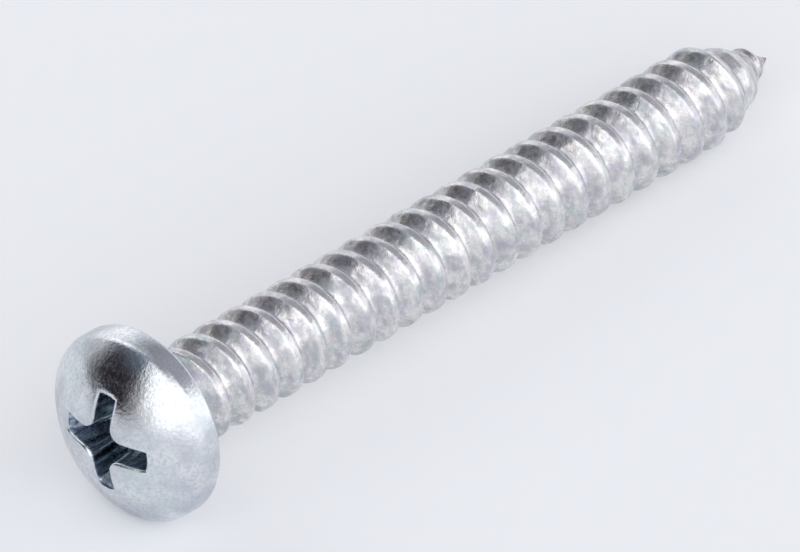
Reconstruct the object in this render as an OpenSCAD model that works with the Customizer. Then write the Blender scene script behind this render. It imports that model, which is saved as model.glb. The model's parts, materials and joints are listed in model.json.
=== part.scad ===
// Pan head self-tapping screw with a cross recess, lying at rest on a flat surface.
// Made in one piece: a domed head, a short neck, and a rolled thread down to a sharp point.
// Millimetres. The screw's own axis runs along +X from the head to the tip, and +Z is up.

/* [Head] */
// Diameter of the head
head_d = 8.2; // [7:0.1:9.5]
// Height of the head above its bearing face
head_h = 2.75; // [2.2:0.05:3.2]
// Height of the head's straight side above its bearing face
rim_h = 0.7; // [0.35:0.05:0.9]
// Radius of the shoulder between the head's side and its crown
shoulder_r = 0.65; // [0.3:0.05:1.2]
// Radius of the rounded edge at the bearing face
edge_r = 0.15; // [0.05:0.05:0.35]
// Inner diameter of the flat bearing face, where the neck's fillet starts
bearing_d = 4.4; // [4.3:0.05:5]

/* [Cross recess] */
// Distance across two opposite wings at the mouth
recess_span = 4.2; // [3.6:0.1:4.8]
// Distance across two opposite wings at the floor
recess_floor_d = 2.6; // [1.8:0.1:3]
// Depth of the recess below the crown's top
recess_depth = 2.1; // [1.4:0.05:2.3]
// Width of a wing at the mouth
wing_w = 0.9; // [0.6:0.05:1.1]
// Width of a wing at the floor
wing_floor_w = 0.65; // [0.5:0.05:0.8]
// Radius of the rounded corners between neighbouring wings
corner_r = 0.6; // [0.2:0.05:0.8]
// Angle between the conical floor and a flat one
floor_angle = 20; // [5:1:30]
// Turn of the recess about the screw's axis
recess_turn = -2; // [-45:1:45]

/* [Thread] */
// Diameter over the thread's crests
thread_d = 4.2; // [3.9:0.05:4.3]
// Diameter of the core between the turns
core_d = 2.84; // [2.5:0.02:3.2]
// Distance from one turn to the next along the axis
pitch = 1.4; // [1.2:0.05:1.6]
// Width of the flat on a crest
crest_w = 0.16; // [0.06:0.01:0.2]
// Width of the groove's floor between two turns
root_w = 0.5; // [0.3:0.05:0.6]
// Width of the easing at each foot of a flank
root_ease = 0.12; // [0.04:0.01:0.14]
// Turn of the thread about the screw's axis
thread_turn = 13; // [0:1:359]

/* [Shank] */
// Length from the bearing face to the tip
shank_l = 36.8; // [20:0.1:40]
// Diameter of the plain neck under the head
neck_d = 3.4; // [3.2:0.05:3.6]
// Length of the plain neck, its fillet included
neck_l = 0.7; // [0.65:0.05:1.4]
// Length over which the thread grows out of the neck
runout_l = 1; // [0.5:0.1:2]
// Length of the core's cone at the point
point_l = 2.6; // [2.3:0.1:4]
// Length over which the crests taper to the point
taper_l = 3.9; // [3:0.1:5]
// Diameter over the crests that the taper would have at the tip
tip_crest_d = 0.8; // [0.3:0.1:1.2]
// Length of the bare tip past the last groove
tip_bare_l = 0.3; // [0.2:0.05:0.8]
// Length over which the last turn fades out
fade_l = 0.5; // [0.4:0.1:2]

/* [Hidden] */
$fn = 96;

// Steps round one turn of the thread
turn_steps = 32;
// The thread's blank is this much slimmer than the neck that it starts in
neck_skin = 0.02;
// The thread's first groove starts this far inside the neck
start_inset = 0.1;
// How far cutting and joining shapes reach past what they cut or join
reach = 1;

head_r = head_d / 2;
bearing_r = bearing_d / 2;
neck_r = neck_d / 2;
neck_fillet_r = bearing_r - neck_r;
thread_r = thread_d / 2;
core_r = core_d / 2;
tip_crest_r = tip_crest_d / 2;

// Crown: an arc about the axis that runs smoothly into the shoulder's arc
dome_h = head_h - rim_h;
shoulder_x = head_r - shoulder_r;
crown_r = (head_r * head_r + dome_h * dome_h - 2 * shoulder_r * head_r) / (2 * (dome_h - shoulder_r));
crown_z = crown_r - head_h;

// Recess: where its wings end on the crown
mouth_r = recess_span / 2;
mouth_z = crown_z - sqrt(crown_r * crown_r - mouth_r * mouth_r);
recess_top_z = -head_h - reach;
recess_floor_r = recess_floor_d / 2;
recess_floor_z = recess_depth - head_h;
wing_taper = (mouth_r - recess_floor_r) / (recess_floor_z - mouth_z);
recess_top_r = mouth_r + wing_taper * (mouth_z - recess_top_z);
recess_tip_z = recess_floor_z + recess_floor_r * tan(floor_angle);

// Thread: points across one turn, from groove floor to groove floor, with their heights from 0 to 1
crest_half = crest_w / 2;
flank_w = (pitch - crest_w - root_w) / 2;
base_half = crest_half + flank_w;
foot = base_half + root_ease;
ease_h = root_ease / flank_w;
turn_z = [-foot, root_ease - base_half, -crest_half, crest_half, base_half - root_ease, foot];
turn_h = [0, ease_h, 1, 1, ease_h, 0];
turn_points = len(turn_z);

// First and last step of the helix: it starts inside the neck and ends short of the tip
thread_start_z = neck_l - pitch + foot - start_inset;
thread_end_z = shank_l - tip_bare_l - foot;
first_step = floor((thread_start_z / pitch - thread_turn / 360) * turn_steps);
last_step = floor((thread_end_z / pitch - thread_turn / 360) * turn_steps);

// Axial place of the helix at a step, and of one point of the turn there
function step_z(step) = pitch * (thread_turn / 360 + step / turn_steps);
function point_z(step, i) = step_z(step) + turn_z[i];

// Core radius: the neck's blank, the run down to the groove's floor, the core, and the cone
function core_at(z) =
    let (run = min(1, max(0, (z - neck_l) / runout_l)))
    let (blank = neck_r - neck_skin)
    min(blank + (core_r - blank) * run, core_r * (shank_l - z) / point_l);

// Crest radius, and how much of a full turn stands at a step
function crest_at(z) =
    min(thread_r, tip_crest_r + (thread_r - tip_crest_r) * (shank_l - z) / taper_l);
function grown(step) =
    min(1, max(0, (step_z(step) - neck_l) / runout_l), (step_z(last_step) - step_z(step)) / fade_l);

function point_r(step, i) =
    let (z = point_z(step, i), core = core_at(z))
    core + turn_h[i] * grown(step) * max(0, crest_at(z) - core);

function helix_point(step, i) =
    let (a = 360 * step / turn_steps, r = point_r(step, i))
    [r * cos(a), r * sin(a), point_z(step, i)];

// Number of a point in the thread's list. One past the last of a turn is the first of the next turn.
function point_no(step, i) =
    i < turn_points
        ? (step - first_step) * turn_points + i
        : (step + turn_steps - first_step) * turn_points;

// Rest: the head's edge and one crest touch the surface, so the axis leans down towards the tip
edge_x = head_r - edge_r;
first_turn = ceil(first_step / turn_steps);
last_turn = floor(last_step / turn_steps);
lean = min([
    for (turn = [first_turn : last_turn], i = [2, 3])
        let (along = point_z(turn * turn_steps, i) + edge_r)
        let (drop = edge_x - point_r(turn * turn_steps, i))
        acos(-edge_r / norm([along, drop])) - atan2(along, drop)
]);
axis_height = edge_x * cos(lean) - edge_r * sin(lean) + edge_r;
tip_reach = shank_l * cos(lean);
crown_reach = crown_z * cos(lean) - crown_r;
middle_x = (tip_reach + crown_reach) / 2;

// Half outline of the head, with its crown towards -Y
module head_outline() {
    slant = crown_r / norm([shoulder_x, crown_z + rim_h]);
    tangent = [shoulder_x * slant, crown_z - (crown_z + rim_h) * slant];
    // Crown
    intersection() {
        translate([0, crown_z])
            circle(r = crown_r);
        polygon([
            [0, -rim_h],
            [0, -head_h - reach],
            [tangent.x, -head_h - reach],
            tangent,
            [shoulder_x, -rim_h]
        ]);
    }
    // Shoulder
    intersection() {
        translate([shoulder_x, -rim_h])
            circle(r = shoulder_r);
        polygon([[shoulder_x, -rim_h], tangent, [head_r, -head_h], [head_r + reach, -rim_h]]);
    }
    // Side and rounded edge
    translate([0, -rim_h])
        square([edge_x, rim_h]);
    translate([0, -rim_h])
        square([head_r, rim_h - edge_r]);
    translate([edge_x, -edge_r])
        intersection() {
            circle(r = edge_r);
            square(edge_r);
        }
}

// Half outline of the neck with the fillet up to the bearing face
module neck_outline() {
    translate([0, -rim_h])
        square([neck_r, rim_h + neck_l]);
    difference() {
        translate([0, -rim_h])
            square([bearing_r, rim_h + neck_fillet_r]);
        translate([bearing_r, neck_fillet_r])
            circle(r = neck_fillet_r);
    }
}

module head_and_neck() {
    rotate_extrude() {
        head_outline();
        neck_outline();
    }
}

// Four wings with rounded corners between them, across the screw's axis
module wings_outline() {
    half = wing_w / 2;
    span = 2 * recess_top_r;
    square([span, wing_w], center = true);
    square([wing_w, span], center = true);
    for (a = [0 : 90 : 270])
        rotate(a)
            difference() {
                square(half + corner_r);
                translate([half + corner_r, half + corner_r])
                    circle(r = corner_r, $fn = 32);
            }
}

// The recess: drafted wings inside a cone that ends them, with a conical floor
module recess() {
    wings_l = recess_tip_z - recess_top_z;
    draft = (1 - wing_floor_w / wing_w) / recess_depth;
    top_scale = 1 + draft * reach;
    tip_scale = 1 - draft * (wings_l - reach);
    rotate(recess_turn)
        intersection() {
            translate([0, 0, recess_top_z])
                linear_extrude(height = wings_l, scale = tip_scale / top_scale)
                    scale(top_scale)
                        wings_outline();
            rotate_extrude()
                polygon([
                    [0, recess_top_z],
                    [recess_top_r, recess_top_z],
                    [recess_floor_r, recess_floor_z],
                    [0, recess_tip_z]
                ]);
        }
}

// The threaded shank: one strip that winds from inside the neck to the point and closes on itself
module threaded_shank() {
    count = (last_step - first_step + 1) * turn_points;
    start_centre = count;
    tip = count + 1;
    points = [
        for (step = [first_step : last_step], i = [0 : turn_points - 1]) helix_point(step, i),
        [0, 0, step_z(first_step)],
        [0, 0, shank_l]
    ];
    // Strip, split into two triangles a step
    strip = [
        for (step = [first_step : last_step - 1], i = [0 : turn_points - 1])
            if (i < turn_points - 1 || step < last_step - turn_steps)
                let (a = point_no(step, i), b = point_no(step + 1, i))
                let (c = point_no(step + 1, i + 1), d = point_no(step, i + 1))
                each [[a, d, c], [a, c, b]]
    ];
    // Start, a spiral end inside the neck
    start = [
        for (step = [first_step : first_step + turn_steps - 1])
            [start_centre, point_no(step, 0), point_no(step + 1, 0)],
        for (i = [0 : turn_points - 1])
            [start_centre, point_no(first_step, i + 1), point_no(first_step, i)]
    ];
    // Point, a cone from the last groove to the tip
    last = turn_points - 1;
    before = last_step - turn_steps;
    edge = [
        point_no(before, last),
        for (i = [0 : last]) point_no(last_step, i),
        tip
    ];
    cone = [
        for (step = [before + 1 : last_step - 1])
            [tip, point_no(step + 1, last), point_no(step, last)],
        for (i = [0 : len(edge) - 2])
            [point_no(before + 1, last), edge[i], edge[i + 1]]
    ];
    polyhedron(points, concat(strip, start, cone));
}

// Turns the upright screw, tip up, to where it comes to rest
module laid_down() {
    translate([-middle_x, 0, axis_height])
        rotate([0, 90 + lean, 0])
            children();
}

module screw() {
    color([0.8, 0.81, 0.84])
        laid_down()
            difference() {
                union() {
                    head_and_neck();
                    threaded_shank();
                }
                recess();
            }
}

screw();
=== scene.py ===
"""A pan head self-tapping screw in bright zinc plate, lying on a pale floor.

The head is a mesh of loops round the axis: from the floor of the cross recess up its walls, over the
crown, round the edge and in to the neck. The thread is rolled out of the neck by Geometry Nodes, on the
same columns, so head and thread close into one skin. Sizes are in millimetres, with the screw upright:
z is 0 at the bearing face and grows towards the tip. The last step lays it down where the frame says.
"""
import json
import math

import bpy
from mathutils import Matrix, Vector


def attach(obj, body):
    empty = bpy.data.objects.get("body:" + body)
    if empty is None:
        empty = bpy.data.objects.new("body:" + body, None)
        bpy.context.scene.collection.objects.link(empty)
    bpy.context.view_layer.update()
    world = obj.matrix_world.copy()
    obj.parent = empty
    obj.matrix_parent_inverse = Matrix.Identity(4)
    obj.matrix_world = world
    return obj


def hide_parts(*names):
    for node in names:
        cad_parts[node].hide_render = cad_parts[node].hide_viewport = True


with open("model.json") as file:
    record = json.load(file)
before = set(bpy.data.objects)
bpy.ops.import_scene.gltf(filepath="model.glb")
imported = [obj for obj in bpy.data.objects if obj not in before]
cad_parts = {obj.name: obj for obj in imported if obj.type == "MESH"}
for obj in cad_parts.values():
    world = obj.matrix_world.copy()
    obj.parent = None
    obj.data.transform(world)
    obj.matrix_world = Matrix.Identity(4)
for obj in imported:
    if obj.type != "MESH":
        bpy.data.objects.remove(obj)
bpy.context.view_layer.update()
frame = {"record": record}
MM = 0.001

# Head
HEAD_R = 4.1
HEAD_H = 2.75
RIM_H = 0.7
SHOULDER_R = 0.65
EDGE_R = 0.15
BEARING_R = 2.2

# Cross recess
MOUTH_R = 2.18
RECESS_FLOOR_R = 1.3
RECESS_DEPTH = 2.1
WING_W = 0.9
WING_FLOOR_W = 0.65
CORNER_R = 0.6
FLOOR_ANGLE = math.radians(20)
RECESS_TURN = math.radians(-2)
LIP_R = 0.17

# Thread and shank
PITCH = 1.4
THREAD_R = 2.1
CORE_R = 1.48
CREST_W = 0.34
ROOT_W = 0.16
CREST_EASE = 0.2
ROOT_EASE = 0.5
TIP_SLIMNESS = 0.5
THREAD_TURN = math.radians(13)
NECK_R = 1.7
NECK_L = 0.7
RUNOUT_L = 1.0
SHANK_L = 36.8
POINT_L = 2.6
TAPER_L = 3.9
TIP_CREST_R = 0.4
TIP_BARE_L = 0.6
FADE_L = 0.6
UNEVENNESS = 0.012
TIP_BURR = 0.03

# Columns round the axis: a quarter has two half wing ends, two wing sides and the corner between them
END_COLUMNS = 2
SIDE_COLUMNS = 4
CORNER_COLUMNS = 12
QUARTER = 2 * (END_COLUMNS + SIDE_COLUMNS) + CORNER_COLUMNS
COLUMNS = 4 * QUARTER

# Loops from the recess's floor to the neck: steps, or shares where they aren't even
FLOOR_SHARES = (0.3, 0.6, 0.85)
WALL_STEPS = 10
LIP_SHARES = (0.25, 0.5, 0.75, 1)
CROWN_STEPS = 26
SHOULDER_STEPS = 16
EDGE_STEPS = 6
BEARING_SHARES = (0.9, 0.6, 0.3, 0.05, 0)
FILLET_STEPS = 7
MEETING_ROUNDS = 8

# Thread mesh: points across a turn, what is merged in millimetres, what stays sharp, and noise per metre
POINTS_ACROSS = 31
MERGE_GAP = 0.002
SHARP_ANGLE = math.radians(48)
WAVE_SCALE = 900
BURR_SCALE = 2600

# Worked out from these: the crown's arc, and the recess's walls and floor
DOME_H = HEAD_H - RIM_H
CROWN_R = (HEAD_R**2 + DOME_H**2 - 2 * SHOULDER_R * HEAD_R) / (2 * (DOME_H - SHOULDER_R))
CROWN_Z = CROWN_R - HEAD_H
SHOULDER_X = HEAD_R - SHOULDER_R
CROWN_END = math.atan2(SHOULDER_X, CROWN_Z + RIM_H)
FILLET_R = BEARING_R - NECK_R
MOUTH_Z = CROWN_Z - math.sqrt(CROWN_R**2 - MOUTH_R**2)
RECESS_FLOOR_Z = RECESS_DEPTH - HEAD_H
WING_TAPER = (MOUTH_R - RECESS_FLOOR_R) / (RECESS_FLOOR_Z - MOUTH_Z)
WING_DRAFT = (1 - WING_FLOOR_W / WING_W) / RECESS_DEPTH
RECESS_TIP_Z = RECESS_FLOOR_Z + RECESS_FLOOR_R * math.tan(FLOOR_ANGLE)

# The photograph's frame and where it has the centre of the bearing face, all in pixels
FRAME_W = 800
FRAME_H = 552
FOCAL_PX = 13695
HEAD_PX = (146.4, 418.2)
HEAD_PX_PER_MM = 25.33
VIEW_AZIMUTH = math.radians(-46.91)
VIEW_ELEVATION = math.radians(37.63)
SENSOR_W = 36

# Backdrop and floor: the floor adds a share of the backdrop's colour, for the camera and for the metal
BACKDROP = (0.9, 0.9, 0.92, 1)
FLOOR_COLOUR = (0.84, 0.86, 0.88, 1)
FLOOR_SEEN = 0.2
FLOOR_MIRRORED = 0.08
FLOOR_HALF_M = 4

# Painted shade in dark streaks on the recess's walls, and plate worn off near the tip
SHADE_STREAK_COLOUR = (0.16, 0.19, 0.23, 1)
WORN_STEEL = (0.36, 0.3, 0.28, 1)


class Nodes:
    """Adds nodes to one tree, fed with plain values or with other nodes' outputs."""

    def __init__(self, tree):
        self.tree = tree

    def feed(self, socket, value):
        if isinstance(value, bpy.types.NodeSocket):
            self.tree.links.new(value, socket)
        else:
            socket.default_value = value

    def add(self, kind, inputs=None, **settings):
        node = self.tree.nodes.new(kind)
        for name, value in settings.items():
            setattr(node, name, value)
        for key, value in (inputs or {}).items():
            self.feed(node.inputs[key], value)
        return node

    def math(self, operation, *values):
        return self.add("ShaderNodeMath", dict(enumerate(values)), operation=operation).outputs[0]

    def share(self, value, start, end, low=0.0, high=1.0, interpolation="LINEAR"):
        """value's place between start and end, as a number from low to high."""
        inputs = {"Value": value, "From Min": start, "From Max": end, "To Min": low, "To Max": high}
        return self.add("ShaderNodeMapRange", inputs, interpolation_type=interpolation).outputs["Result"]

    def mix(self, factor, a, b, blend="MIX"):
        node = self.add("ShaderNodeMix", data_type="RGBA", blend_type=blend)
        for name, value in (("Factor_Float", factor), ("A_Color", a), ("B_Color", b)):
            self.feed(next(s for s in node.inputs if s.identifier == name), value)
        return next(s for s in node.outputs if s.identifier == "Result_Color")


# Head

def polar(r, angle, z):
    return (r * math.cos(angle), r * math.sin(angle), z)


def crown_z(r):
    return CROWN_Z - math.sqrt(CROWN_R**2 - r**2)


def floor_z(r):
    return RECESS_TIP_Z - r * math.tan(FLOOR_ANGLE)


def column_angle(column):
    return RECESS_TURN + math.tau * column / COLUMNS


def wing_point(column, z):
    """Where the recess's wall stands in a column, at height z: radius and angle."""
    shrink = 1 - WING_DRAFT * (z + HEAD_H)
    half = shrink * WING_W / 2
    corner = shrink * CORNER_R
    end_r = MOUTH_R + WING_TAPER * (MOUTH_Z - z)
    quarter, place = divmod(column, QUARTER)
    mirrored = place > QUARTER / 2
    place = QUARTER - place if mirrored else place
    if place <= END_COLUMNS:
        a = math.asin(half / end_r) * place / END_COLUMNS
        x, y = end_r * math.cos(a), end_r * math.sin(a)
    elif place <= END_COLUMNS + SIDE_COLUMNS:
        along = (place - END_COLUMNS) / SIDE_COLUMNS
        side_end = math.sqrt(end_r**2 - half**2)
        x, y = side_end + (half + corner - side_end) * along, half
    else:
        a = math.pi * (1.5 - 0.5 * (place - END_COLUMNS - SIDE_COLUMNS) / CORNER_COLUMNS)
        x, y = half + corner * (1 + math.cos(a)), half + corner * (1 + math.sin(a))
    if mirrored:
        x, y = y, x
    return math.hypot(x, y), math.atan2(y, x) + quarter * math.pi / 2 + RECESS_TURN


def meet(column, z, surface):
    """Height at which the recess's wall meets a surface of revolution, in one column."""
    for _ in range(MEETING_ROUNDS):
        z = surface(wing_point(column, z)[0])
    return z


def recess_loops():
    """The recess from its floor up to the lip, and the lip's outer line on the crown."""
    low = [meet(c, RECESS_FLOOR_Z, floor_z) for c in range(COLUMNS)]
    high = [meet(c, MOUTH_Z, crown_z) for c in range(COLUMNS)]
    loops = []
    foot = [wing_point(c, low[c]) for c in range(COLUMNS)]
    for share in FLOOR_SHARES:
        loops.append([polar(share * r, a, floor_z(share * r)) for r, a in foot])
    for step in range(WALL_STEPS + 1):
        share = step / WALL_STEPS
        heights = [low[c] + (high[c] + LIP_R - low[c]) * share for c in range(COLUMNS)]
        loops.append([polar(*wing_point(c, z), z) for c, z in enumerate(heights)])
    inner = [Vector(p) for p in loops[-1]]
    edge = [Vector(polar(*wing_point(c, z), z)) for c, z in enumerate(high)]
    outer = []
    for c, point in enumerate(edge):
        run = edge[(c + 1) % COLUMNS] - edge[c - 1]
        away = Vector((run.y, -run.x, 0)).normalized() * LIP_R
        flat = (point + away).to_2d()
        outer.append(Vector((flat.x, flat.y, crown_z(flat.length))))
    for t in LIP_SHARES:
        loops.append([
            tuple((1 - t) ** 2 * inner[c] + 2 * t * (1 - t) * edge[c] + t * t * outer[c])
            for c in range(COLUMNS)
        ])
    return loops


def crown_loops(start):
    """The crown, from the recess's lip to where the shoulder starts; the columns even out on the way."""
    end_r = CROWN_R * math.sin(CROWN_END)
    loops = []
    for step in range(1, CROWN_STEPS + 1):
        share = step / CROWN_STEPS
        loop = []
        for c, (x, y, _) in enumerate(start):
            own = math.atan2(y, x) - column_angle(c)
            own = math.remainder(own, math.tau)
            r = math.hypot(x, y)
            r += (end_r - r) * share
            loop.append(polar(r, column_angle(c) + own * (1 - share), crown_z(r)))
        loops.append(loop)
    return loops


def arc(centre_r, centre_z, radius, start, end, steps):
    """Points (r, z) on an arc after its first one; angle 0 points to the tip, a quarter turn outwards."""
    angles = [start + (end - start) * s / steps for s in range(1, steps + 1)]
    return [(centre_r + radius * math.sin(a), centre_z + radius * math.cos(a)) for a in angles]


def side_loops():
    """Shoulder, side, edge, bearing face, fillet and neck, down to where the thread starts."""
    quarter = math.pi / 2
    profile = arc(SHOULDER_X, -RIM_H, SHOULDER_R, math.pi - CROWN_END, quarter, SHOULDER_STEPS)
    profile += [(HEAD_R, -(RIM_H + EDGE_R) / 2)]
    profile += [(HEAD_R, -EDGE_R)]
    profile += arc(HEAD_R - EDGE_R, -EDGE_R, EDGE_R, quarter, 0, EDGE_STEPS)
    ring = HEAD_R - EDGE_R - BEARING_R
    profile += [(BEARING_R + ring * share, 0) for share in BEARING_SHARES]
    profile += arc(BEARING_R, FILLET_R, FILLET_R, math.pi, 3 * quarter, FILLET_STEPS)
    profile += [(NECK_R, NECK_L)]
    return [[polar(r, column_angle(c), z) for c in range(COLUMNS)] for r, z in profile]


def head_mesh(finish, recess_finish):
    """The head as one open shell that ends in the neck's ring, in metres.

    The recess's finish, darker and bluer as painted shade, reaches up to the first loop of the lip.
    """
    inside = recess_loops()
    loops = inside + crown_loops(inside[-1])
    loops += side_loops()
    points = [(0, 0, RECESS_TIP_Z)]
    for loop in loops:
        points += loop
    faces = []
    for c in range(COLUMNS):
        after = (c + 1) % COLUMNS
        faces.append((0, 1 + after, 1 + c))
        for n in range(len(loops) - 1):
            a, b = 1 + n * COLUMNS, 1 + (n + 1) * COLUMNS
            faces.append((a + c, a + after, b + after, b + c))
    mesh = bpy.data.meshes.new("screw_head")
    mesh.from_pydata([Vector(p) * MM for p in points], [], faces)
    mesh.materials.append(finish)
    mesh.materials.append(recess_finish)
    in_recess = 1 + (len(inside) - len(LIP_SHARES) + 1) * COLUMNS
    for face in mesh.polygons:
        face.material_index = int(max(face.vertices) < in_recess)
    return mesh


# Thread

def thread_sizes():
    """The thread tree's inputs: lengths in metres, angles in radians, and counts."""
    first_z = PITCH * ((RECESS_TURN + THREAD_TURN) / math.tau - 1)
    turns = (SHANK_L - first_z) / PITCH + 1
    lengths = {
        "Pitch": PITCH,
        "Start Height": first_z,
        "Thread Radius": THREAD_R,
        "Core Radius": CORE_R,
        "Neck Radius": NECK_R,
        "Neck Length": NECK_L,
        "Run-out Length": RUNOUT_L,
        "Shank Length": SHANK_L,
        "Point Length": POINT_L,
        "Taper Length": TAPER_L,
        "Tip Crest Radius": TIP_CREST_R,
        "Bare Tip Length": TIP_BARE_L,
        "Fade Length": FADE_L,
        "Unevenness": UNEVENNESS,
        "Tip Burr": TIP_BURR,
        "Crest Width": CREST_W,
        "Root Width": ROOT_W,
    }
    sizes = {name: value * MM for name, value in lengths.items()}
    sizes["Start Angle"] = RECESS_TURN
    sizes["Crest Ease"] = CREST_EASE
    sizes["Root Ease"] = ROOT_EASE
    sizes["Tip Slimness"] = TIP_SLIMNESS
    sizes["Steps Round"] = COLUMNS
    sizes["Steps"] = math.ceil(turns * COLUMNS)
    sizes["Points Across"] = POINTS_ACROSS
    return sizes


def thread_tree(sizes):
    """Winds a strip one pitch wide round the axis, shapes it into a thread and joins it to the head."""
    tree = bpy.data.node_groups.new("rolled_thread", "GeometryNodeTree")
    tree.is_modifier = True
    tree.interface.new_socket("Head", in_out="INPUT", socket_type="NodeSocketGeometry")
    for name, value in sizes.items():
        kind = "NodeSocketInt" if isinstance(value, int) else "NodeSocketFloat"
        tree.interface.new_socket(name, in_out="INPUT", socket_type=kind)
    tree.interface.new_socket("Finish", in_out="INPUT", socket_type="NodeSocketMaterial")
    tree.interface.new_socket("Screw", in_out="OUTPUT", socket_type="NodeSocketGeometry")
    n = Nodes(tree)
    given = n.add("NodeGroupInput").outputs

    # A flat strip: steps along the helix in x, and the way across one pitch in y
    grid = n.add("GeometryNodeMeshGrid", {
        "Size X": given["Steps"],
        "Size Y": given["Pitch"],
        "Vertices X": n.math("ADD", given["Steps"], 1),
        "Vertices Y": given["Points Across"],
    })
    place = n.add("ShaderNodeSeparateXYZ", {0: n.add("GeometryNodeInputPosition").outputs[0]}).outputs
    step = n.math("ADD", place["X"], n.math("MULTIPLY", given["Steps"], 0.5))
    turns = n.math("DIVIDE", step, given["Steps Round"])
    angle = n.math("MULTIPLY_ADD", turns, math.tau, given["Start Angle"])
    crest_z = n.math("MULTIPLY_ADD", turns, given["Pitch"], given["Start Height"])
    free_z = n.math("ADD", crest_z, place["Y"])
    z = n.math("MINIMUM", n.math("MAXIMUM", free_z, given["Neck Length"]), given["Shank Length"])
    to_tip = n.math("SUBTRACT", given["Shank Length"], z)
    from_neck = n.math("SUBTRACT", z, given["Neck Length"])

    # Height across the turn: 0 in the groove, straight flanks, 1 on the crest, with eased corners
    slim = n.share(to_tip, 0, given["Taper Length"], given["Tip Slimness"], 1)
    base = n.math("MULTIPLY", n.math("SUBTRACT", given["Pitch"], given["Root Width"]), 0.5)
    flank = n.math("SUBTRACT", base, n.math("MULTIPLY", given["Crest Width"], 0.5))
    across = n.math("DIVIDE", n.math("ABSOLUTE", place["Y"]), slim)
    slope = n.math("DIVIDE", n.math("SUBTRACT", base, across), flank)
    eased = n.math("SMOOTH_MAX", slope, 0, given["Root Ease"])
    height = n.math("SMOOTH_MIN", eased, 1, given["Crest Ease"])

    # Core: the neck runs down to the groove's floor, and ends in the point's cone
    run = n.share(from_neck, 0, given["Run-out Length"])
    step_in = n.math("SUBTRACT", given["Core Radius"], given["Neck Radius"])
    body = n.math("MULTIPLY_ADD", run, step_in, given["Neck Radius"])
    cone = n.math("MULTIPLY", to_tip, n.math("DIVIDE", given["Core Radius"], given["Point Length"]))
    core = n.math("MINIMUM", body, cone)

    # Crests: full along the shank, tapering to the point, growing out of the neck and fading at the tip
    taper = n.math("DIVIDE", to_tip, given["Taper Length"])
    gain = n.math("SUBTRACT", given["Thread Radius"], given["Tip Crest Radius"])
    tapered = n.math("MULTIPLY_ADD", taper, gain, given["Tip Crest Radius"])
    crest = n.math("MINIMUM", given["Thread Radius"], tapered)
    fade_z = n.math("SUBTRACT", to_tip, given["Bare Tip Length"])
    faded = n.share(fade_z, 0, given["Fade Length"])
    grown = n.math("MULTIPLY", height, n.math("MINIMUM", run, faded))
    lift = n.math("MULTIPLY", grown, n.math("MAXIMUM", n.math("SUBTRACT", crest, core), 0))

    # Slight unevenness of rolled metal, stronger near the pinched tip
    spot = n.add("ShaderNodeCombineXYZ", {
        "X": n.math("MULTIPLY", n.math("COSINE", angle), given["Core Radius"]),
        "Y": n.math("MULTIPLY", n.math("SINE", angle), given["Core Radius"]),
        "Z": z,
    }).outputs[0]
    waves = n.add("ShaderNodeTexNoise", {"Vector": spot, "Scale": WAVE_SCALE, "Detail": 2}).outputs["Fac"]
    burrs = n.add("ShaderNodeTexNoise", {"Vector": spot, "Scale": BURR_SCALE, "Detail": 2}).outputs["Fac"]
    near_tip = n.share(to_tip, given["Point Length"], given["Bare Tip Length"])
    rough = n.math("MULTIPLY", near_tip, given["Tip Burr"])
    waviness = n.math("MULTIPLY", n.math("SUBTRACT", waves, 0.5), given["Unevenness"])
    burring = n.math("MULTIPLY", n.math("SUBTRACT", burrs, 0.5), rough)
    bumps = n.math("ADD", waviness, burring)
    steady = n.math("MINIMUM", run, n.share(to_tip, 0, given["Bare Tip Length"]))
    radius = n.math("ADD", n.math("ADD", core, lift), n.math("MULTIPLY", bumps, steady))
    wound = n.add("ShaderNodeCombineXYZ", {
        "X": n.math("MULTIPLY", radius, n.math("COSINE", angle)),
        "Y": n.math("MULTIPLY", radius, n.math("SINE", angle)),
        "Z": z,
    }).outputs[0]

    # Marks for the finish, kept while the strip is flat, and then the winding
    marked = n.add(
        "GeometryNodeStoreNamedAttribute",
        {"Geometry": grid.outputs["Mesh"], "Name": "near_tip", "Value": near_tip},
        data_type="FLOAT", domain="POINT",
    )
    rolled = n.add(
        "GeometryNodeStoreNamedAttribute",
        {"Geometry": marked.outputs[0], "Name": "rolled", "Value": True},
        data_type="BOOLEAN", domain="FACE",
    )
    strip = n.add("GeometryNodeSetPosition", {"Geometry": rolled.outputs[0], "Position": wound})

    # One skin: the strip's edges meet turn by turn, its start meets the neck and its end the tip
    joined = n.add("GeometryNodeJoinGeometry")
    n.tree.links.new(given["Head"], joined.inputs[0])
    n.tree.links.new(strip.outputs[0], joined.inputs[0])
    merged = n.add("GeometryNodeMergeByDistance", {
        "Geometry": joined.outputs[0],
        "Distance": MERGE_GAP * MM,
    })
    smooth = n.add("GeometryNodeSetShadeSmooth", {0: merged.outputs[0]})
    whole = n.add("GeometryNodeRealizeInstances", {0: smooth.outputs[0]})
    is_rolled = n.add("GeometryNodeInputNamedAttribute", {"Name": "rolled"}, data_type="BOOLEAN")
    finished = n.add("GeometryNodeSetMaterial", {
        "Geometry": whole.outputs[0],
        "Selection": is_rolled.outputs[0],
        "Material": given["Finish"],
    })
    output = n.add("NodeGroupOutput")
    n.tree.links.new(finished.outputs[0], output.inputs[0])
    return tree


def lying_place():
    """From the upright screw to where it lies; the thread's mount gives its axis and one point on it."""
    start = next(m for m in frame["record"]["mounts"] if m["name"] == "thread")
    axis = Vector(start["axis"]).normalized()
    side = Vector((0, 1, 0))
    down = side.cross(axis)
    place = Matrix((down, side, axis)).transposed().to_4x4()
    place.translation = Vector(start["pos_m"]) - axis * NECK_L * MM
    return place


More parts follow.
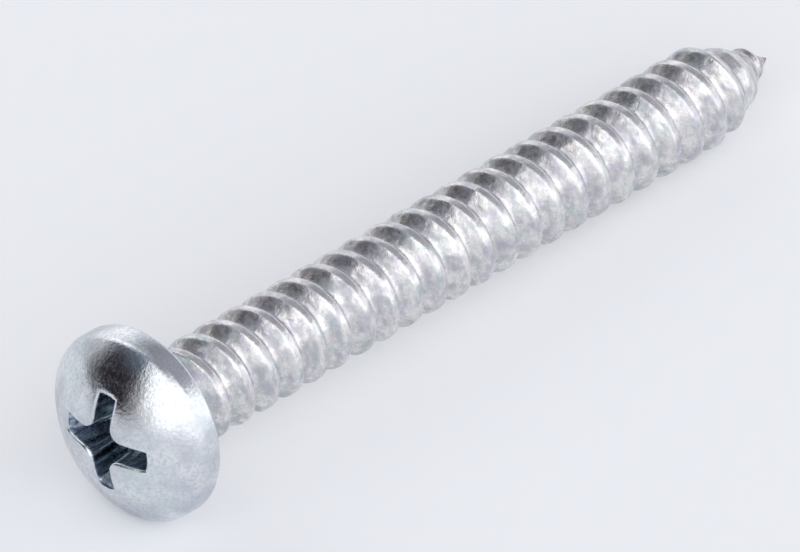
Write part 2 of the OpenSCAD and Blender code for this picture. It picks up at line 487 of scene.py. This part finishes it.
def plated_screw(place, head_finish, recess_finish, thread_finish):
    """Head and thread as one closed mesh, laid down."""
    piece = bpy.data.objects.new("plated_screw", head_mesh(head_finish, recess_finish))
    bpy.context.scene.collection.objects.link(piece)
    sizes = thread_sizes()
    modifier = piece.modifiers.new("thread", "NODES")
    modifier.node_group = thread_tree(sizes)
    for item in modifier.node_group.interface.items_tree:
        if item.name in sizes:
            modifier[item.identifier] = sizes[item.name]
        elif item.name == "Finish":
            modifier[item.identifier] = thread_finish
    depsgraph = bpy.context.evaluated_depsgraph_get()
    mesh = bpy.data.meshes.new_from_object(piece.evaluated_get(depsgraph), depsgraph=depsgraph)
    piece.modifiers.remove(modifier)
    piece.data = mesh
    mesh.transform(place)
    mesh.set_sharp_from_angle(angle=SHARP_ANGLE)
    return piece


# Finishes

def group(name, inputs, outputs):
    """An empty shader node group with named sockets, with its helper, input and output nodes."""
    tree = bpy.data.node_groups.new(name, "ShaderNodeTree")
    for socket, kind in inputs.items():
        tree.interface.new_socket(socket, in_out="INPUT", socket_type=kind)
    for socket, kind in outputs.items():
        tree.interface.new_socket(socket, in_out="OUTPUT", socket_type=kind)
    n = Nodes(tree)
    return n, n.add("NodeGroupInput").outputs, n.add("NodeGroupOutput").inputs


def plate_clouds():
    """Clouds and flecks of the plating, and its faint tints."""
    n, given, out = group(
        "plate_clouds",
        {"Vector": "NodeSocketVector", "Cloud Scale": "NodeSocketFloat", "Fleck Scale": "NodeSocketFloat"},
        {"Clouds": "NodeSocketFloat", "Flecks": "NodeSocketFloat", "Tint": "NodeSocketColor"},
    )
    clouds = n.add("ShaderNodeTexNoise", {
        "Vector": given["Vector"], "Scale": given["Cloud Scale"], "Detail": 5, "Roughness": 0.62,
    }).outputs["Fac"]
    flecks = n.add("ShaderNodeTexNoise", {
        "Vector": given["Vector"], "Scale": given["Fleck Scale"], "Detail": 3, "Roughness": 0.7,
    }).outputs["Fac"]
    hue_scale = n.math("MULTIPLY", given["Cloud Scale"], 0.8)
    hue = n.add("ShaderNodeTexNoise", {
        "Vector": given["Vector"], "Scale": hue_scale, "Detail": 2, "W": 3,
    }, noise_dimensions="4D").outputs["Fac"]
    tint = n.add("ShaderNodeValToRGB", {"Fac": hue})
    lilac, teal = tint.color_ramp.elements
    lilac.position = 0.36
    lilac.color = (0.93, 0.89, 0.99, 1)
    teal.position = 0.66
    teal.color = (0.88, 0.97, 0.95, 1)
    pale = tint.color_ramp.elements.new(0.5)
    pale.color = (1, 0.98, 0.98, 1)
    n.feed(out["Clouds"], n.share(clouds, 0.34, 0.68, interpolation="SMOOTHSTEP"))
    n.feed(out["Flecks"], n.share(flecks, 0.42, 0.66, interpolation="SMOOTHSTEP"))
    n.feed(out["Tint"], tint.outputs["Color"])
    return n.tree


def plate_grain():
    """Height of the plating's fine grain and of soft dents, for a Bump node."""
    n, given, out = group(
        "plate_grain",
        {
            "Vector": "NodeSocketVector",
            "Grain Scale": "NodeSocketFloat",
            "Dent Scale": "NodeSocketFloat",
            "Dent Share": "NodeSocketFloat",
        },
        {"Height": "NodeSocketFloat"},
    )
    grain = n.add("ShaderNodeTexNoise", {
        "Vector": given["Vector"], "Scale": given["Grain Scale"], "Detail": 3, "Roughness": 0.6,
    }).outputs["Fac"]
    dents = n.add("ShaderNodeTexNoise", {
        "Vector": given["Vector"], "Scale": given["Dent Scale"], "Detail": 1,
    }).outputs["Fac"]
    n.feed(out["Height"], n.math("MULTIPLY_ADD", dents, given["Dent Share"], grain))
    return n.tree


def zinc(name, groups, bright, dull, roughness, cloud_scale, fleck_scale, grain, dents,
         tint=0.75, metal=1.0, fleck_depth=0.35, stretch=(1, 1, 1)):
    """Bright zinc plate. Gives the material, and for a finish that adds to it also its node helper, its
    shader, its colour and the outputs of its clouds.

    roughness runs from clear to cloudy plate, grain is its scale and its depth in millimetres, and dents
    are their scale and their height beside the grain's.
    """
    material = bpy.data.materials.new(name)
    material.use_nodes = True
    material.node_tree.nodes.clear()
    n = Nodes(material.node_tree)
    where = n.add("ShaderNodeTexCoord").outputs["Object"]
    drawn = n.add("ShaderNodeMapping", {"Vector": where, "Scale": stretch}).outputs[0]
    grain_scale, grain_depth = grain
    dent_scale, dent_share = dents
    clouding = n.add("ShaderNodeGroup", node_tree=groups["clouds"])
    for socket, value in (("Vector", drawn), ("Cloud Scale", cloud_scale), ("Fleck Scale", fleck_scale)):
        n.feed(clouding.inputs[socket], value)
    graining = n.add("ShaderNodeGroup", node_tree=groups["grain"])
    for socket, value in (
        ("Vector", where),
        ("Grain Scale", grain_scale),
        ("Dent Scale", dent_scale),
        ("Dent Share", dent_share),
    ):
        n.feed(graining.inputs[socket], value)
    clouds = clouding.outputs
    colour = n.mix(clouds["Clouds"], bright, dull)
    colour = n.mix(n.math("MULTIPLY", clouds["Flecks"], fleck_depth), colour, dull)
    colour = n.mix(tint, colour, clouds["Tint"], "MULTIPLY")
    rough = n.share(n.math("ADD", clouds["Clouds"], clouds["Flecks"]), 0, 2, *roughness)
    bump = n.add("ShaderNodeBump", {
        "Height": graining.outputs["Height"], "Strength": 1, "Distance": grain_depth * MM,
    })
    shader = n.add("ShaderNodeBsdfPrincipled", {
        "Base Color": colour, "Metallic": metal, "Roughness": rough, "Normal": bump.outputs["Normal"],
    })
    n.add("ShaderNodeOutputMaterial", {"Surface": shader.outputs[0]})
    return material, n, shader, colour, clouds


def wall_shade_streaks(n):
    """1 in the dark streaks of painted shade down the recess's walls, along the screw."""
    along_wall = n.add("ShaderNodeMapping", {
        "Vector": n.add("ShaderNodeTexCoord").outputs["Object"], "Scale": (0.12, 1, 1),
    })
    streaks = n.add("ShaderNodeTexNoise", {
        "Vector": along_wall.outputs[0], "Scale": 3400, "Detail": 3, "Roughness": 0.6,
    }).outputs["Fac"]
    return n.share(streaks, 0.45, 0.62, interpolation="SMOOTHSTEP")


def tip_wear(n, clouds):
    """How far the plate is worn off, in patches that grow towards the tip."""
    near_tip = n.add("ShaderNodeAttribute", attribute_name="near_tip").outputs["Fac"]
    patches = n.share(clouds["Clouds"], 0.3, 0.7, 0, 0.75)
    return n.math("MULTIPLY", n.share(near_tip, 0.35, 0.75), patches)


def finishes():
    """The plate on the head, in the recess and on the thread. The recess's copy of the plate is darker and
    bluer: painted shade in the recess.
    """
    groups = {"clouds": plate_clouds(), "grain": plate_grain()}
    head = zinc(
        "headed_zinc", groups,
        bright=(0.93, 0.96, 0.98, 1), dull=(0.65, 0.69, 0.73, 1), roughness=(0.12, 0.34),
        cloud_scale=620, fleck_scale=6500, grain=(7000, 0.01), dents=(900, 2.2), tint=0.4, fleck_depth=0.75,
    )[0]
    # The recess's plate: a darker, bluer copy of the zinc, painted shade in the recess
    recess, n, shader, colour, _ = zinc(
        "shaded_recess_zinc", groups,
        bright=(0.72, 0.8, 0.84, 1), dull=(0.46, 0.54, 0.6, 1), roughness=(0.14, 0.34),
        cloud_scale=1500, fleck_scale=7000, grain=(5000, 0.01), dents=(1500, 2),
    )
    # Dark streaks of painted shade on the recess's walls
    n.feed(shader.inputs["Base Color"], n.mix(wall_shade_streaks(n), colour, SHADE_STREAK_COLOUR))
    thread, n, shader, colour, clouds = zinc(
        "rolled_zinc", groups,
        bright=(0.97, 0.95, 0.92, 1), dull=(0.58, 0.595, 0.63, 1), roughness=(0.22, 0.44),
        cloud_scale=2800, fleck_scale=7500, grain=(4200, 0.02), dents=(1300, 3), tint=0.6, metal=0.92,
        stretch=(1, 0.5, 0.5),
    )
    n.feed(shader.inputs["Base Color"], n.mix(tip_wear(n, clouds), colour, WORN_STEEL))
    return head, recess, thread


# Stage

def camera(bearing):
    """Level, and far off with a long lens; the bearing face's centre falls on its pixel in the frame."""
    right = Vector((math.cos(VIEW_AZIMUTH), math.sin(VIEW_AZIMUTH), 0))
    ahead = Vector((-math.sin(VIEW_AZIMUTH), math.cos(VIEW_AZIMUTH), 0))
    ahead = ahead * math.cos(VIEW_ELEVATION) - Vector((0, 0, math.sin(VIEW_ELEVATION)))
    up = right.cross(ahead)
    depth = FOCAL_PX / HEAD_PX_PER_MM
    across = (HEAD_PX[0] - FRAME_W / 2) / FOCAL_PX * depth
    above = (FRAME_H / 2 - HEAD_PX[1]) / FOCAL_PX * depth
    data = bpy.data.cameras.new("camera")
    data.sensor_width = SENSOR_W
    data.lens = FOCAL_PX * SENSOR_W / FRAME_W
    data.clip_start = 0.01
    data.clip_end = 100
    view = bpy.data.objects.new("camera", data)
    view.matrix_world = Matrix((right, up, -ahead)).transposed().to_4x4()
    view.location = bearing - (right * across + up * above + ahead * depth) * MM
    bpy.context.scene.collection.objects.link(view)
    bpy.context.scene.camera = view


def floor():
    """A plain pale floor, far wider than any view of it."""
    half = FLOOR_HALF_M
    corners = [(-half, -half, 0), (half, -half, 0), (half, half, 0), (-half, half, 0)]
    mesh = bpy.data.meshes.new("floor")
    mesh.from_pydata(corners, [], [(0, 1, 2, 3)])
    material = bpy.data.materials.new("pale_floor")
    material.use_nodes = True
    material.node_tree.nodes.clear()
    n = Nodes(material.node_tree)
    path = n.add("ShaderNodeLightPath").outputs
    mirrored = n.math("MULTIPLY", path["Is Glossy Ray"], FLOOR_MIRRORED)
    shader = n.add("ShaderNodeBsdfPrincipled", {
        "Base Color": FLOOR_COLOUR,
        "Roughness": 0.8,
        "Specular IOR Level": 0.1,
        "Emission Color": BACKDROP,
        "Emission Strength": n.math("MULTIPLY_ADD", path["Is Camera Ray"], FLOOR_SEEN, mirrored),
    })
    n.add("ShaderNodeOutputMaterial", {"Surface": shader.outputs[0]})
    mesh.materials.append(material)
    plane = bpy.data.objects.new("floor", mesh)
    bpy.context.scene.collection.objects.link(plane)


def sight(azimuth, elevation):
    """The direction at an azimuth, rightwards from the camera's sight line, and an elevation, in degrees."""
    a = VIEW_AZIMUTH - math.radians(azimuth)
    e = math.radians(elevation)
    return Vector((-math.sin(a) * math.cos(e), math.cos(a) * math.cos(e), math.sin(e)))


def softbox(name, azimuth, elevation, distance, size, power):
    """A square lamp that looks at the screw; cameras don't see it, metal does."""
    data = bpy.data.lights.new(name, "AREA")
    data.size = size
    data.energy = power
    lamp = bpy.data.objects.new(name, data)
    away = sight(azimuth, elevation)
    lamp.location = away * distance
    lamp.rotation_mode = "QUATERNION"
    lamp.rotation_quaternion = away.to_track_quat("Z", "Y")
    lamp.visible_camera = False
    bpy.context.scene.collection.objects.link(lamp)


def surroundings():
    """A studio that metal mirrors: bright in front and right, grey above and behind, dark at the left.

    Cameras see only a pale backdrop. Azimuths count rightwards from the camera's line of sight.
    """
    world = bpy.data.worlds.new("studio")
    world.use_nodes = True
    world.node_tree.nodes.clear()
    n = Nodes(world.node_tree)
    way = n.add("ShaderNodeTexCoord").outputs["Generated"]

    def along(direction):
        dot = n.add("ShaderNodeVectorMath", {0: way, 1: direction}, operation="DOT_PRODUCT")
        return dot.outputs["Value"]

    azimuth = n.math("DEGREES", n.math("ARCTAN2", along(sight(90, 0)), along(sight(0, 0))))
    elevation = n.math("DEGREES", n.math("ARCSINE", along(sight(0, 90))))

    def ramp(value, start, end):
        return n.share(value, start, end, interpolation="SMOOTHSTEP")

    def band(start, full, full_end, end, lean=0.0):
        """1 between two azimuths, with soft edges; with a lean the edges grow sharper upwards."""
        left = n.math("MULTIPLY_ADD", elevation, lean, start)
        right = n.math("MULTIPLY_ADD", elevation, -lean, end)
        return n.math("MULTIPLY", ramp(azimuth, left, full), ramp(azimuth, right, full_end))

    def grey(value, blue=1.03):
        return (value, value, value * blue, 1)

    # Each part fades from its colour low down to its colour higher up; azimuths and elevations in degrees
    walls = n.mix(ramp(elevation, 52, 80), grey(1.3), grey(0.31))
    behind_left = n.mix(ramp(elevation, 35, 62), grey(0.92), grey(0.44))
    behind = n.mix(ramp(elevation, 26, 42), grey(0.85, 1.06), grey(0.25, 1.12))
    dark = n.mix(ramp(elevation, 22, 58), (0.016, 0.012, 0.014, 1), (0.185, 0.225, 0.3, 1))
    studio = n.mix(band(-62, -48, -14, 8), walls, behind_left)
    studio = n.mix(band(-14, 8, 54, 86), studio, behind)
    upper_right = n.math("MULTIPLY", band(20, 40, 80, 112), ramp(elevation, 26, 42))
    studio = n.mix(upper_right, studio, grey(0.33, 1.12))
    studio = n.mix(band(-162, -117, -88, -34, lean=0.6), studio, dark)
    seen = n.add("ShaderNodeLightPath").outputs["Is Camera Ray"]
    background = n.add("ShaderNodeBackground", {"Color": n.mix(seen, studio, BACKDROP)})
    n.add("ShaderNodeOutputWorld", {"Surface": background.outputs[0]})
    bpy.context.scene.world = world


place = lying_place()
screw = plated_screw(place, *finishes())
floor()
surroundings()
camera(place.translation)
softbox("front_lamp", azimuth=168, elevation=38, distance=0.7, size=0.45, power=0.2)
bpy.context.scene.view_settings.view_transform = "Standard"

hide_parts("screw")
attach(screw, "root")
